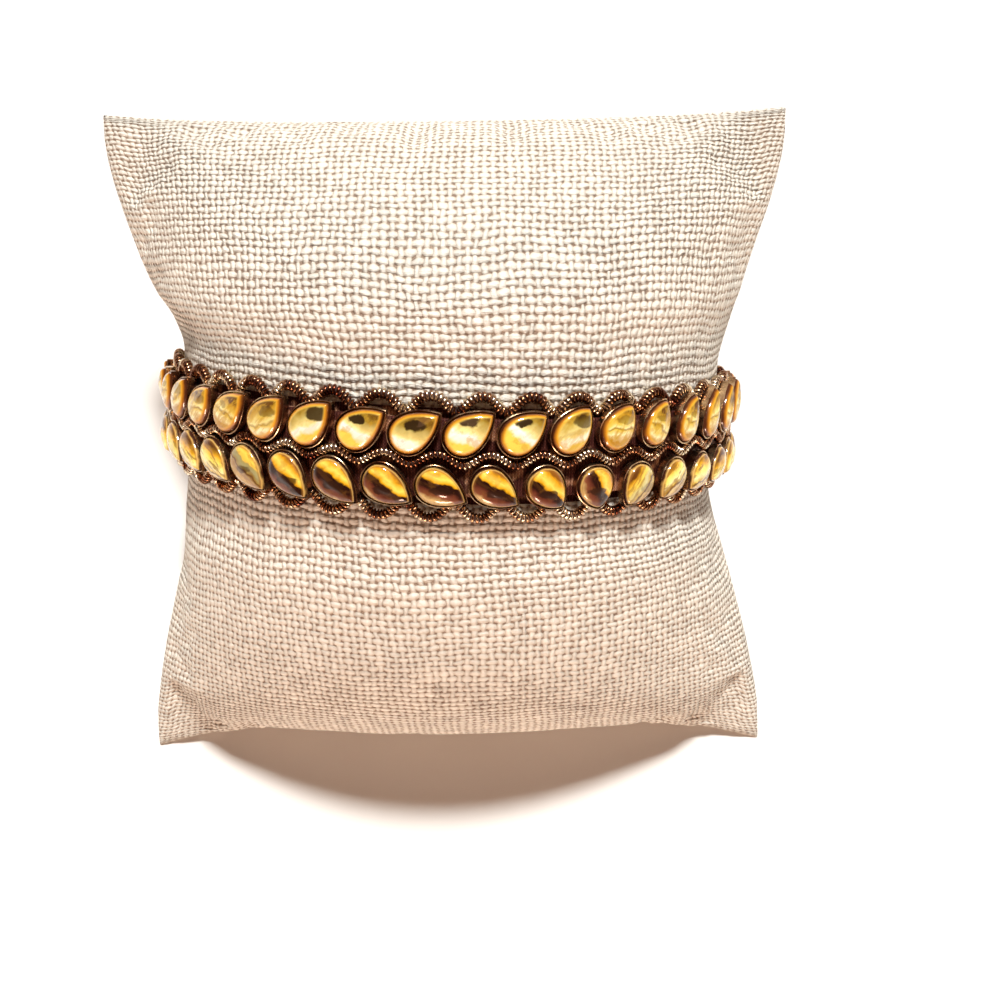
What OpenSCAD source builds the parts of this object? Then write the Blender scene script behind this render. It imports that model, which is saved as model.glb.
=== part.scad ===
// Two-row kundan bracelet, fastened round a small stuffed linen pillow.
// The pillow's own frame has x to its right, y up its length and z out of its front.
// The pillow then leans back onto the bracelet's clasp and its own two bottom corners.

/* [Bracelet loop] */
// Half the width of the loop, inside the ribbon
loop_half_w = 33.6; // [32:0.1:36]
// Depth of the loop in front of its widest line
loop_front = 29; // [27:0.1:31]
// Depth of the loop behind its widest line
loop_back = 18; // [16:0.1:20]
// Radius of the loop's two tight sides
loop_side_r = 13; // [11:0.1:14]
// Height of the bracelet's middle above the pillow's middle
band_lift = 4.6; // [0:0.1:6]
// Slope of the bracelet across the pillow, in degrees
band_slope = -2.8; // [-4:0.1:4]

/* [Ribbon] */
// Width of the woven ribbon
ribbon_w = 8.2; // [6:0.1:8.3]
// Thickness of the woven ribbon
ribbon_t = 1; // [0.8:0.05:1.2]

/* [Coiled cords] */
// Diameter over the coiled wire
cord_d = 1.1; // [0.9:0.05:1.1]
// Length of one scallop of the two outer cords
scallop_pitch = 5.42; // [5:0.01:6]
// Distance of an outer cord's mean line from the middle of the band
scallop_line = 5.7; // [5.6:0.05:6.5]
// Swing of an outer cord to each side of its mean line
scallop_swing = 0.75; // [0.4:0.05:0.9]
// Place of the first scallop's crown from the front of the loop
scallop_start = -1.1; // [-3:0.1:3]
// Swing of the middle cord to each side of its line
middle_swing = 0.55; // [0.3:0.05:0.6]

/* [Stones] */
// Length of a pear-shaped stone
stone_l = 5.4; // [4.8:0.05:5.5]
// Width of a pear-shaped stone
stone_w = 3.75; // [3.4:0.05:3.8]
// Thickness of a stone
stone_t = 1.5; // [1.2:0.05:2]
// Width of the bevel between a stone's edge and its flat table
stone_bevel = 0.8; // [0.5:0.05:1.2]
// Distance from one stone to the next along its row
stone_pitch = 5.56; // [5.5:0.01:5.6]
// Number of stones in each row
row_count = 32; // [24:1:32]
// Distance of each row from the middle of the band
row_line = 3; // [3:0.05:3.2]
// Middle of the two rows, from the front of the loop
row_middle = -1.07; // [-2:0.01:2]
// Slant of the upper row's stones, in degrees
upper_slant = 35; // [33:1:38]

/* [Settings] */
// Thickness of the cup's wall
cup_wall = 0.22; // [0.15:0.01:0.3]
// Height of the cup
cup_h = 0.95; // [0.7:0.05:1.2]
// Thickness of the cup's floor
cup_floor = 0.3; // [0.2:0.05:0.4]
// Size of the foot under a cup, as a share of the stone
foot_share = 0.5; // [0.3:0.05:0.55]

/* [Clasp] */
// Length of the clasp along the band
clasp_l = 11; // [8:0.5:11.5]
// Width of the clasp across the band
clasp_w = 12; // [10:0.5:13]
// Step of the clasp's raised lid, in from its edge
clasp_step = 0.8; // [0.4:0.1:1.5]

/* [Pillow] */
// Gap between the pillow and the ribbon
pillow_gap = 0.15; // [0.1:0.05:0.3]
// Height of the waist's lower end, below the ribbon
waist_low = -3.2; // [-4:0.1:-3]
// Height of the waist's upper end, above the ribbon
waist_high = 12.4; // [12:0.1:13]
// Segments along each face of the pillow
face_steps = 16; // [12:2:20]
// Reach of the bracelet's slope along the pillow, above and below the band
slope_reach = 14; // [12:1:18]

/* [Hidden] */

// Clearance between neighbouring pieces
seat = 0.08;
// Height above the ribbon's inner face where lengths along the loop are measured
measure_h = 2;
cord_r = cord_d / 2;
cord_sides = 5;
cord_rings = 8;
// The middle cord's crowns lie over the round ends of the lower row's stones
crown_shift = 0.6;
pear_points = 16;
// Higher values make the pear's tip sharper
pear_tip = 0.75;
girdle_h = 0.6;
full_turn = 360;
right_angle = 90;
half_turn = 180;

outer_cord_h = seat + cord_r;
middle_cord_h = ribbon_t + seat + cord_r;
foot_base_h = ribbon_t + seat;
cup_base_h = 2 * seat + cord_d;
stone_base_h = cup_base_h + cup_floor + seat / 2;
table_h = stone_base_h + stone_t;
foot_h = cup_base_h - foot_base_h;

// The lower row's stones turn and grow rounder towards the right.
// Columns: place along the loop, direction of the tip in degrees, length of the stone,
// and its share of the row's distance from the middle of the band
lower_row = [
    [  6.0,  -30, 5.4, 1.00],
    [ 11.5,  -45, 5.0, 1.00],
    [ 17.0,  -80, 4.5, 1.03],
    [ 22.7, -100, 4.5, 1.07],
    [ 28.6, -115, 4.7, 1.12],
    [ 34.0, -120, 4.7, 1.12]
];
PLACE = 0; TIP = 1; LONG = 2; LINE = 3;

// Sections of the pillow from its bottom seam to its top seam.
// Columns: height, half width, front depth, back depth, radius of the sides,
// and how far the section's middle lies above its corners
pillow_sections = [
    [-41.1, 41.20,  0.60,  0.60,  0.4,  3.9],
    [-40.4, 41.20,  4.20,  3.20,  0.7,  3.7],
    [-38.6, 41.10,  8.60,  6.40,  1.2,  3.3],
    [-35.2, 40.80, 13.60,  9.70,  2.0,  2.6],
    [-30.5, 39.90, 18.30, 12.80,  3.2,  1.7],
    [-25.0, 38.60, 22.00, 15.00,  5.0,  0.9],
    [-19.0, 36.90, 25.20, 16.60,  7.5,  0.4],
    [-12.5, 35.10, 27.50, 17.60, 10.5,  0.1],
    [ -6.5, 33.90, 28.60, 17.80, 12.5,  0.0],
    waist(waist_low),
    waist(waist_high),
    [ 15.2, 34.10, 28.50, 17.80, 12.0,  0.0],
    [ 20.0, 36.00, 26.70, 17.00,  9.0, -0.2],
    [ 25.5, 38.00, 23.40, 15.20,  6.0, -0.4],
    [ 30.5, 39.70, 19.00, 12.80,  3.6, -0.6],
    [ 35.0, 40.80, 13.60,  9.60,  2.2, -0.8],
    [ 38.4, 41.20,  8.40,  6.20,  1.3, -0.9],
    [ 40.3, 41.20,  4.20,  3.20,  0.7, -1.0],
    [ 41.0, 41.20,  0.60,  0.60,  0.4, -1.1]
];
HEIGHT = 0; HALF_W = 1; FRONT = 2; BACK = 3; SIDE_R = 4; BOW = 5;
function waist(height) = [height, loop_half_w - pillow_gap, loop_front - pillow_gap,
                          loop_back - pillow_gap, loop_side_r - pillow_gap, 0];

// Ovals of tangent arcs: one large arc across each face, small arcs at the sides
function face_radius(half_w, depth, side_r) =
    (pow(half_w - side_r, 2) + pow(depth, 2) - pow(side_r, 2)) / (2 * (depth - side_r));
function face_angle(half_w, depth, side_r) =
    atan2(half_w - side_r, face_radius(half_w, depth, side_r) - depth);
function arc_len(radius, angle) = radius * angle * PI / half_turn;
function arc_angle(radius, length) = length / radius * half_turn / PI;

front_r = face_radius(loop_half_w, loop_front, loop_side_r);
front_angle = face_angle(loop_half_w, loop_front, loop_side_r);
back_r = face_radius(loop_half_w, loop_back, loop_side_r);
back_angle = face_angle(loop_half_w, loop_back, loop_side_r);
side_angle = half_turn - front_angle - back_angle;
front_len = arc_len(front_r + measure_h, front_angle);
side_len = arc_len(loop_side_r + measure_h, side_angle);
back_len = arc_len(back_r + measure_h, back_angle);
half_loop = front_len + side_len + back_len;

// The loop's arc at place s: angle of its outward direction, centre, and radius
function loop_arc(s) =
    let (side = s < 0 ? -1 : 1, d = abs(s))
    d <= front_len
        ? [side * arc_angle(front_r + measure_h, d), 0, loop_front - front_r, front_r]
    : d <= front_len + side_len
        ? [side * (front_angle + arc_angle(loop_side_r + measure_h, d - front_len)),
           side * (loop_half_w - loop_side_r), 0, loop_side_r]
    : [side * (half_turn - back_angle + arc_angle(back_r + measure_h, d - front_len - side_len)),
       0, back_r - loop_back, back_r];
function round_loop(s) = s > half_loop ? s - 2 * half_loop : s;

// Point at place s along the loop, v across the band and h above the ribbon's inner face
function loop_point(s, v, h) =
    let (a = loop_arc(round_loop(s)), r = a[3] + h)
    [a[1] + r * sin(a[0]), v, a[2] + r * cos(a[0])];
function loop_outward(s) = let (a = loop_arc(round_loop(s))[0]) [sin(a), 0, cos(a)];

// The band's two ends stop short of the clasp
clasp_place = half_loop + row_middle;
band_stop = clasp_l / 2 + 4 * seat;
band_right = clasp_place - band_stop;
band_left = clasp_place + band_stop - 2 * half_loop;

// Places of the stones along the loop: the two rows are half a pitch apart
function row_places(offset) =
    [for (i = [0 : row_count - 1]) row_middle + (i - (row_count - 1) / 2) * stone_pitch + offset];
upper_places = row_places(stone_pitch / 4);
lower_places = row_places(-stone_pitch / 4);
function in_lower_row(s, column) =
    lookup(s, [for (row = lower_row) [row[PLACE], row[column]]]);

// Pear outline with its tip on +x
function pear_side(t) = sin(t) * pow(sin(t / 2), pear_tip);
pear_peak = max([for (t = [0 : 2 : half_turn]) pear_side(t)]);
function pear(l, w) = [
    for (i = [0 : pear_points - 1])
        let (t = i * full_turn / pear_points,
             side = t <= half_turn ? pear_side(t) : -pear_side(full_turn - t))
        [l / 2 * cos(t), w / 2 * side / pear_peak]
];

// Half of a pillow section, t from 0 at its middle to 1 at the side seam
function half_section(half_w, depth, side_r, t) =
    let (big = face_radius(half_w, depth, side_r),
         turn = face_angle(half_w, depth, side_r),
         along = t * (big * turn + side_r * (right_angle - turn)))
    along <= big * turn
        ? [big * sin(along / big), depth - big + big * cos(along / big)]
        : let (q = turn + (along - big * turn) / side_r)
          [half_w - side_r + side_r * sin(q), side_r * cos(q)];
function section_point(row, depth, t) =
    let (p = half_section(row[HALF_W], depth, row[SIDE_R], abs(t)))
    [t < 0 ? -p[0] : p[0], p[1]];
function section_outline(row) = concat(
    [for (i = [0 : face_steps]) section_point(row, row[FRONT], 2 * i / face_steps - 1)],
    [for (i = [1 : face_steps - 1])
        let (p = section_point(row, row[BACK], 1 - 2 * i / face_steps)) [p[0], -p[1]]]
);
// A section's points, bowed up its middle and turned with the bracelet near the band
function section_points(row) = [
    for (p = section_outline(row))
        let (turn = band_slope * exp(-pow((row[HEIGHT] - band_lift) / slope_reach, 4)),
             bow = row[BOW] * (1 - pow(abs(p[0]) / row[HALF_W], 3)),
             y = row[HEIGHT] + bow - band_lift)
        [p[0] * cos(turn) - y * sin(turn), band_lift + p[0] * sin(turn) + y * cos(turn), p[1]]
];
pillow_points = [for (row = pillow_sections, p = section_points(row)) p];
bottom_corner = pillow_points[0];

// The lower corner of the clasp's lid, which rests on the table with the bottom corners
lid_corner = loop_point(clasp_place, clasp_step - clasp_w / 2, table_h)
           + [clasp_l / 2 - clasp_step, 0, 0];
lid_corner_y = band_lift + lid_corner[0] * sin(band_slope) + lid_corner[1] * cos(band_slope);
lean = atan2(bottom_corner[2] - lid_corner[2], lid_corner_y - bottom_corner[1]);

function leaned(p) = [p[0], p[1] * cos(lean) - p[2] * sin(lean), p[1] * sin(lean) + p[2] * cos(lean)];
// The soft back is pressed flat where it would reach below the bottom corners
table_z = leaned(bottom_corner)[2];
leaned_pillow = [for (p = pillow_points) let (q = leaned(p)) [q[0], q[1], max(q[2], table_z)]];
function low(axis) = min([for (p = leaned_pillow) p[axis]]);
function high(axis) = max([for (p = leaned_pillow) p[axis]]);
stand = [-(low(0) + high(0)) / 2, -(low(1) + high(1)) / 2, -table_z];

module leaning() translate(stand) rotate([lean, 0, 0]) children();
module on_band() leaning() translate([0, band_lift, 0]) rotate([0, 0, band_slope]) children();

// Puts its children on the loop: x along the band, y across it, z outward
module at_loop(s, v, h) {
    a = loop_arc(round_loop(s));
    translate([a[1], 0, a[2]]) rotate([0, a[0], 0]) translate([0, v, a[3] + h]) children();
}

// Faces of a closed tube of rings, each with the same number of points
function tube_walls(rings, sides) = [
    for (i = [0 : rings - 2], j = [0 : sides - 1])
        let (k = (j + 1) % sides, a = i * sides + j, b = i * sides + k)
        each [[a, a + sides, b], [b, a + sides, b + sides]]
];

module pillow() {
    points_round = 2 * face_steps;
    last = (len(pillow_sections) - 1) * points_round;
    seams = [
        for (i = [0 : face_steps - 1])
            let (a = i, b = i + 1, c = (points_round - i - 1) % points_round,
                 d = (points_round - i) % points_round)
            each i == 0 ? [[a, b, c]] : i == face_steps - 1 ? [[a, b, d]]
                : [[a, b, c], [a, c, d]]
    ];
    color("linen") translate(stand)
        polyhedron(
            points = leaned_pillow,
            faces = concat(
                tube_walls(len(pillow_sections), points_round),
                seams,
                [for (f = seams) [last + f[2], last + f[1], last + f[0]]]
            )
        );
}

// One arc of the ribbon: angles of its ends, then its centre and inner radius
module ribbon_arc(from, to, centre_x, centre_z, radius) {
    translate([centre_x, 0, centre_z])
        multmatrix([[0, 1, 0, 0], [0, 0, 1, 0], [1, 0, 0, 0]])
            rotate_extrude(angle = to - from, start = from, $fn = 240)
                translate([radius, -ribbon_w / 2]) square([ribbon_t, ribbon_w]);
}

module ribbon_band() {
    side_x = loop_half_w - loop_side_r;
    back_start = half_turn - back_angle;
    color("peru") on_band() {
        ribbon_arc(-front_angle, front_angle, 0, loop_front - front_r, front_r);
        ribbon_arc(front_angle, back_start, side_x, 0, loop_side_r);
        ribbon_arc(-back_start, -front_angle, -side_x, 0, loop_side_r);
        ribbon_arc(back_start, loop_arc(band_right)[0], 0, back_r - loop_back, back_r);
        ribbon_arc(loop_arc(band_left)[0], -back_start, 0, back_r - loop_back, back_r);
    }
}

// A cord that swings to both sides of a line across the band, from clasp to clasp
module wavy_cord(line, swing, pitch, crown, h) {
    start = band_left + cord_r / 2;
    length = band_right - band_left - cord_r;
    steps = round(length / pitch * cord_rings);
    function along(i) = start + length * i / steps;
    function middle(i) =
        let (s = along(i)) loop_point(s, line + swing * cos(full_turn * (s - crown) / pitch), h);
    rings = [
        for (i = [0 : steps])
            let (out = loop_outward(along(i)), ahead = middle(i + 0.5) - middle(i - 0.5),
                 across = cross(out, ahead / norm(ahead)))
            for (j = [0 : cord_sides - 1])
                let (q = full_turn * j / cord_sides)
                middle(i) + cord_r * (out * cos(q) - across * sin(q))
    ];
    last = steps * cord_sides;
    polyhedron(
        points = rings,
        faces = concat(
            tube_walls(steps + 1, cord_sides),
            [[for (j = [0 : cord_sides - 1]) j]],
            [[for (j = [0 : cord_sides - 1]) last + cord_sides - 1 - j]]
        )
    );
}

module upper_trim() {
    color("saddlebrown") on_band()
        wavy_cord(scallop_line, scallop_swing, scallop_pitch, scallop_start, outer_cord_h);
}

module lower_trim() {
    color("saddlebrown") on_band()
        wavy_cord(-scallop_line, -scallop_swing, scallop_pitch, scallop_start, outer_cord_h);
}

// The middle cord passes over the lower row's stones and under the upper row's
module middle_cord() {
    color("saddlebrown") on_band()
        wavy_cord(0, middle_swing, stone_pitch, lower_places[0] - crown_shift, middle_cord_h);
}

module stone(l) {
    table = 1 - 2 * stone_bevel / l;
    table_w = 1 - 2 * stone_bevel / stone_w;
    outline = pear(l, stone_w);
    function layer(x_share, y_share, z) = [for (p = outline) [p[0] * x_share, p[1] * y_share, z]];
    polyhedron(
        points = concat(layer(1, 1, 0), layer(1, 1, girdle_h), layer(table, table_w, stone_t)),
        faces = concat(
            tube_walls(3, pear_points),
            [[for (i = [0 : pear_points - 1]) i]],
            [[for (i = [0 : pear_points - 1]) 3 * pear_points - 1 - i]]
        )
    );
}

// A pear-shaped cup on a smaller foot, with its bottom at height 0
module setting(l) {
    inside = seat;
    outside = seat + 2 * cup_wall;
    difference() {
        linear_extrude(cup_h) polygon(pear(l + outside, stone_w + outside));
        translate([0, 0, cup_floor])
            linear_extrude(cup_h) polygon(pear(l + inside, stone_w + inside));
    }
    translate([0, 0, -foot_h])
        linear_extrude(foot_h + cup_floor / 2) polygon(pear(l * foot_share, stone_w * foot_share));
}

module upper_row(h) {
    for (s = upper_places) at_loop(s, row_line, h) rotate([0, 0, upper_slant]) children();
}

module upper_settings() {
    color("goldenrod") on_band() upper_row(cup_base_h) setting(stone_l);
}

module upper_stones() {
    color("gold") on_band() upper_row(stone_base_h) stone(stone_l);
}

module at_lower_row(s, h) {
    at_loop(s, -row_line * in_lower_row(s, LINE), h)
        rotate([0, 0, in_lower_row(s, TIP)]) children();
}

module lower_settings() {
    color("goldenrod") on_band()
        for (s = lower_places) at_lower_row(s, cup_base_h) setting(in_lower_row(s, LONG));
}

module lower_stones() {
    color("gold") on_band()
        for (s = lower_places) at_lower_row(s, stone_base_h) stone(in_lower_row(s, LONG));
}

module clasp() {
    height = table_h - seat;
    lid = 0.6;
    color("goldenrod") on_band() at_loop(clasp_place, 0, seat) {
        translate([-clasp_l / 2 + seat, -clasp_w / 2, 0])
            cube([clasp_l - 2 * seat, clasp_w, height - lid]);
        translate([-clasp_l / 2 + clasp_step, -clasp_w / 2 + clasp_step, 0])
            cube([clasp_l - 2 * clasp_step, clasp_w - 2 * clasp_step, height]);
    }
}

pillow();
ribbon_band();
upper_trim();
middle_cord();
lower_trim();
upper_settings();
lower_settings();
upper_stones();
lower_stones();
clasp();
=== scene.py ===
# Two-row kundan bracelet on a stuffed linen pillow: finished meshes, materials, light and camera
import math
import random

import bmesh
import bpy
from mathutils import Matrix, Vector, noise


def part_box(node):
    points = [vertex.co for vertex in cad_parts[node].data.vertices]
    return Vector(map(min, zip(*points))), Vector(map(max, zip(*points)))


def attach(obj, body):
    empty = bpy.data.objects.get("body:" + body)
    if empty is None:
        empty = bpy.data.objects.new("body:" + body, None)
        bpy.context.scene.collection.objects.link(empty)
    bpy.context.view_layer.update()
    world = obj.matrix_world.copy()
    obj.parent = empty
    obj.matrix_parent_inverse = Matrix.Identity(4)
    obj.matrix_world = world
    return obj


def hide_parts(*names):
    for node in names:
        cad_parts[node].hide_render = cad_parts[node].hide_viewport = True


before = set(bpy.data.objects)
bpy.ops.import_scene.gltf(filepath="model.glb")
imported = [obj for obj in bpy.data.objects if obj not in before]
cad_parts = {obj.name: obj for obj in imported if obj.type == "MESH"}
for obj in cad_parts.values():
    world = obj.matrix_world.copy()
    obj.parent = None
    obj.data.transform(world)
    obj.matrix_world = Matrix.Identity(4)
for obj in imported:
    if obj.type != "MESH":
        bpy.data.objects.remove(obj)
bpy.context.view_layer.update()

metres = 0.001  # everything below is worked out in millimetres and scaled once

# Shape of the bracelet's loop round the pillow.
# The pillow's frame has x to its right, y up it and z out of its front.
loop = {
    "halfWidth": 33.6, "front": 29.0, "back": 18.0, "sideRadius": 13.0,
    "lift": 4.6, "slope": math.radians(-2.8), "slopeReach": 14, "measureHeight": 2.0,
}
# Heights of the layers above the ribbon's inner face
layers = {"cupBase": 1.26, "stoneBase": 1.60, "top": 3.10}
claspSize = {"length": 11.0, "width": 12.0, "step": 0.8, "lid": 0.6, "gap": 0.32}
# The two rows of stones. Upper stones are turned about a pivot near their round end, from a straight slant.
# Where there are two seeds, the first is the upper row's.
rows = {
    "middle": -1.07, "pitch": 5.56, "count": 32, "line": 3.03, "offset": 1.39,
    "pivot": 0.8, "straight": math.radians(35),
    "jitter": 4, "lengthJitter": (0.985, 1.015), "seeds": (41, 43),
}


def faceRadius(halfWidth, depth, sideRadius):
    return ((halfWidth - sideRadius) ** 2 + depth ** 2 - sideRadius ** 2) / (2 * (depth - sideRadius))


def faceAngle(halfWidth, depth, sideRadius):
    return math.atan2(halfWidth - sideRadius, faceRadius(halfWidth, depth, sideRadius) - depth)


frontRadius = faceRadius(loop["halfWidth"], loop["front"], loop["sideRadius"])
frontAngle = faceAngle(loop["halfWidth"], loop["front"], loop["sideRadius"])
backRadius = faceRadius(loop["halfWidth"], loop["back"], loop["sideRadius"])
backAngle = faceAngle(loop["halfWidth"], loop["back"], loop["sideRadius"])
frontLength = (frontRadius + loop["measureHeight"]) * frontAngle
sideLength = (loop["sideRadius"] + loop["measureHeight"]) * (math.pi - frontAngle - backAngle)
halfLoop = frontLength + sideLength + (backRadius + loop["measureHeight"]) * backAngle

claspPlace = halfLoop + rows["middle"]
bandRight = claspPlace - claspSize["length"] / 2 - claspSize["gap"]
bandLeft = claspPlace + claspSize["length"] / 2 + claspSize["gap"] - 2 * halfLoop


# Arc that carries a place along the loop: the angle it faces, the arc's centre and its radius
def loopArc(place):
    if place > halfLoop:
        place -= 2 * halfLoop
    side = 1 if place >= 0 else -1
    distance = abs(place)
    if distance <= frontLength:
        turn = distance / (frontRadius + loop["measureHeight"])
        return side * turn, 0, loop["front"] - frontRadius, frontRadius
    if distance <= frontLength + sideLength:
        turn = frontAngle + (distance - frontLength) / (loop["sideRadius"] + loop["measureHeight"])
        return side * turn, side * (loop["halfWidth"] - loop["sideRadius"]), 0, loop["sideRadius"]
    turn = math.pi - backAngle
    turn += (distance - frontLength - sideLength) / (backRadius + loop["measureHeight"])
    return side * turn, 0, backRadius - loop["back"], backRadius


def bandPoint(place, across, height):
    turn, centreX, centreZ, radius = loopArc(place)
    reach = radius + height
    return Vector((centreX + reach * math.sin(turn), across, centreZ + reach * math.cos(turn)))


def bandFrame(place, across, height):
    turn, centreX, centreZ, radius = loopArc(place)
    onArc = Matrix.Translation((centreX, 0, centreZ)) @ Matrix.Rotation(turn, 4, "Y")
    return bandToRow @ onArc @ Matrix.Translation((0, across, radius + height))


# The pillow leans back until its bottom corners and the clasp's lid touch the table
lidCorner = bandPoint(claspPlace, claspSize["step"] - claspSize["width"] / 2, layers["top"])
lidCorner.x += claspSize["length"] / 2 - claspSize["step"]
lidRise = loop["lift"] + lidCorner.x * math.sin(loop["slope"]) + lidCorner.y * math.cos(loop["slope"])
bottomEdge = 41.1  # from the pillow's middle down to its bottom seam
lean = math.atan2(-lidCorner.z, lidRise + bottomEdge)
stand = Vector((0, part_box("pillow")[0].y / metres + bottomEdge * math.cos(lean), bottomEdge * math.sin(lean)))
pillowToRow = Matrix.Scale(metres, 4) @ Matrix.Translation(stand) @ Matrix.Rotation(lean, 4, "X")
bandToRow = pillowToRow @ Matrix.Translation((0, loop["lift"], 0)) @ Matrix.Rotation(loop["slope"], 4, "Z")


def addPiece(bm, name, materials, nodes, angle=math.radians(40)):
    mesh = bpy.data.meshes.new(name)
    bm.to_mesh(mesh)
    bm.free()
    mesh.shade_smooth()
    mesh.set_sharp_from_angle(angle=angle)
    for material in materials:
        mesh.materials.append(material)
    piece = bpy.data.objects.new(name, mesh)
    bpy.context.scene.collection.objects.link(piece)
    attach(piece, "root")
    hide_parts(*nodes)
    mesh.calc_loop_triangles()
    print(name, len(mesh.loop_triangles), "triangles")
    return piece


def addBlock(bm, size, middle):
    block = bmesh.ops.create_cube(bm, size=1)["verts"]
    bmesh.ops.scale(bm, vec=size, verts=block)
    bmesh.ops.translate(bm, vec=middle, verts=block)


def roundEdges(bm, edges, offset, segments):
    bmesh.ops.bevel(bm, geom=edges, offset=offset, offset_type="OFFSET", segments=segments,
                    profile=0.5, affect="EDGES", material=-1)


# Short forms for the nodes that the materials are made of
def startMaterial(name):
    material = bpy.data.materials.new(name)
    material.use_nodes = True
    tree = material.node_tree
    return material, tree, tree.nodes["Principled BSDF"]


def setFinish(shader, finish):
    for name, value in finish.items():
        shader.inputs[name].default_value = value


def feed(tree, socket, value):
    if isinstance(value, bpy.types.NodeSocket):
        tree.links.new(value, socket)
    else:
        socket.default_value = value


def calc(tree, operation, first, second=0.0, third=0.0):
    node = tree.nodes.new("ShaderNodeMath")
    node.operation = operation
    for socket, value in zip(node.inputs, (first, second, third)):
        feed(tree, socket, value)
    return node.outputs[0]


def mixColour(tree, share, first, second, way="MIX"):
    node = tree.nodes.new("ShaderNodeMix")
    node.data_type = "RGBA"
    node.blend_type = way
    feed(tree, node.inputs[0], share)
    feed(tree, node.inputs[6], first)
    feed(tree, node.inputs[7], second)
    return node.outputs[2]


def ramp(tree, share, stops):
    node = tree.nodes.new("ShaderNodeValToRGB")
    feed(tree, node.inputs[0], share)
    for number, (place, colour) in enumerate(stops):
        element = node.color_ramp.elements[number] if number < 2 else node.color_ramp.elements.new(place)
        element.position = place
        element.color = (*colour, 1)
    return node.outputs[0]


# Smooth step from 0 to 1 between two values
def step(tree, value, low, high):
    node = tree.nodes.new("ShaderNodeMapRange")
    node.interpolation_type = "SMOOTHSTEP"
    feed(tree, node.inputs["Value"], value)
    node.inputs["From Min"].default_value = low
    node.inputs["From Max"].default_value = high
    return node.outputs[0]


def grain(tree, vector, scale, detail=2.0, roughness=0.5):
    node = tree.nodes.new("ShaderNodeTexNoise")
    feed(tree, node.inputs["Vector"], vector)
    node.inputs["Scale"].default_value = scale
    node.inputs["Detail"].default_value = detail
    node.inputs["Roughness"].default_value = roughness
    return node.outputs[0]


def joinXyz(tree, x, y, z):
    node = tree.nodes.new("ShaderNodeCombineXYZ")
    for socket, value in zip(node.inputs, (x, y, z)):
        feed(tree, socket, value)
    return node.outputs[0]


def uvParts(tree, name):
    uv = tree.nodes.new("ShaderNodeUVMap")
    uv.uv_map = name
    parts = tree.nodes.new("ShaderNodeSeparateXYZ")
    tree.links.new(uv.outputs[0], parts.inputs[0])
    return parts.outputs[0], parts.outputs[1]


def objectPlace(tree):
    return tree.nodes.new("ShaderNodeTexCoord").outputs["Object"]


def attribute(tree, name):
    node = tree.nodes.new("ShaderNodeAttribute")
    node.attribute_name = name
    return node.outputs["Fac"]


def bump(tree, height, distance, strength=1.0):
    node = tree.nodes.new("ShaderNodeBump")
    node.inputs["Strength"].default_value = strength
    node.inputs["Distance"].default_value = distance
    feed(tree, node.inputs["Height"], height)
    return node.outputs[0]


# Pillow. Each section: height, half width, depth in front, depth behind, side radius, bow of its line
pillow = {
    "sections": [
        (-41.30, 41.10, 0.02, 0.02, 0.01, 4.0), (-41.1, 41.20, 0.60, 0.60, 0.4, 3.9),
        (-40.4, 41.20, 4.20, 3.20, 0.7, 3.7), (-38.6, 41.10, 8.60, 6.40, 1.2, 3.3),
        (-35.2, 40.80, 13.60, 9.70, 2.0, 2.6), (-30.5, 39.90, 18.30, 12.80, 3.2, 1.7),
        (-25.0, 38.60, 22.00, 15.00, 5.0, 0.9), (-19.0, 36.90, 25.20, 16.60, 7.5, 0.4),
        (-12.5, 35.10, 27.50, 17.60, 10.5, 0.1), (-6.5, 33.90, 28.60, 17.80, 12.5, 0.0),
        (-3.2, 33.45, 28.85, 17.85, 12.85, 0.0), (12.4, 33.45, 28.85, 17.85, 12.85, 0.0),
        (15.2, 34.10, 28.50, 17.80, 12.0, 0.0), (20.0, 36.00, 26.70, 17.00, 9.0, -0.2),
        (25.5, 38.00, 23.40, 15.20, 6.0, -0.4), (30.5, 39.70, 19.00, 12.80, 3.6, -0.6),
        (35.0, 40.80, 13.60, 9.60, 2.2, -0.8), (38.4, 41.20, 8.40, 6.20, 1.3, -0.9),
        (40.3, 41.20, 4.20, 3.20, 0.7, -1.0), (41.0, 41.20, 0.60, 0.60, 0.4, -1.1),
        (41.20, 41.10, 0.02, 0.02, 0.01, -1.1),
    ],
    "columns": 360, "rows": 190, "mergeReach": 0.06, "roundestSide": 0.65,
    "seamHeight": 41, "pucker": 0.22, "puckerReach": 9.0, "depthShare": 0.4, "foldScale": (0.32, 0.06, 3),
}
# Filling of the cover: a cloth simulation on a coarse cover, ten times real size, and how its moves are used
filling = {
    "columns": 64, "rows": 44, "frames": 16, "pressure": 4, "shrink": -0.03,
    "toTrial": 0.01, "fromTrial": 100, "bandHold": 9, "seamHold": 0.8, "tableHold": 0.6,
    "largestMove": 0.9, "sideways": 0.15, "fadeStart": 9.5, "fadeLength": 6, "fullDepth": 4,
}
# Spacing of the thread rows, as shares of the way up and of the way along the cloth
threadSpacing = {"steps": 400, "upward": 1.03, "seamExtra": 0.05, "seamStart": 26, "along": 0.7}


# Places of the sections along the front's middle line, so that rows are evenly spaced over the curve
sectionPlaces = [0.0]
for before, after in zip(pillow["sections"], pillow["sections"][1:]):
    sectionPlaces.append(sectionPlaces[-1] + math.hypot(after[0] - before[0], after[2] - before[2]))
middleLength = sectionPlaces[-1]


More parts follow.
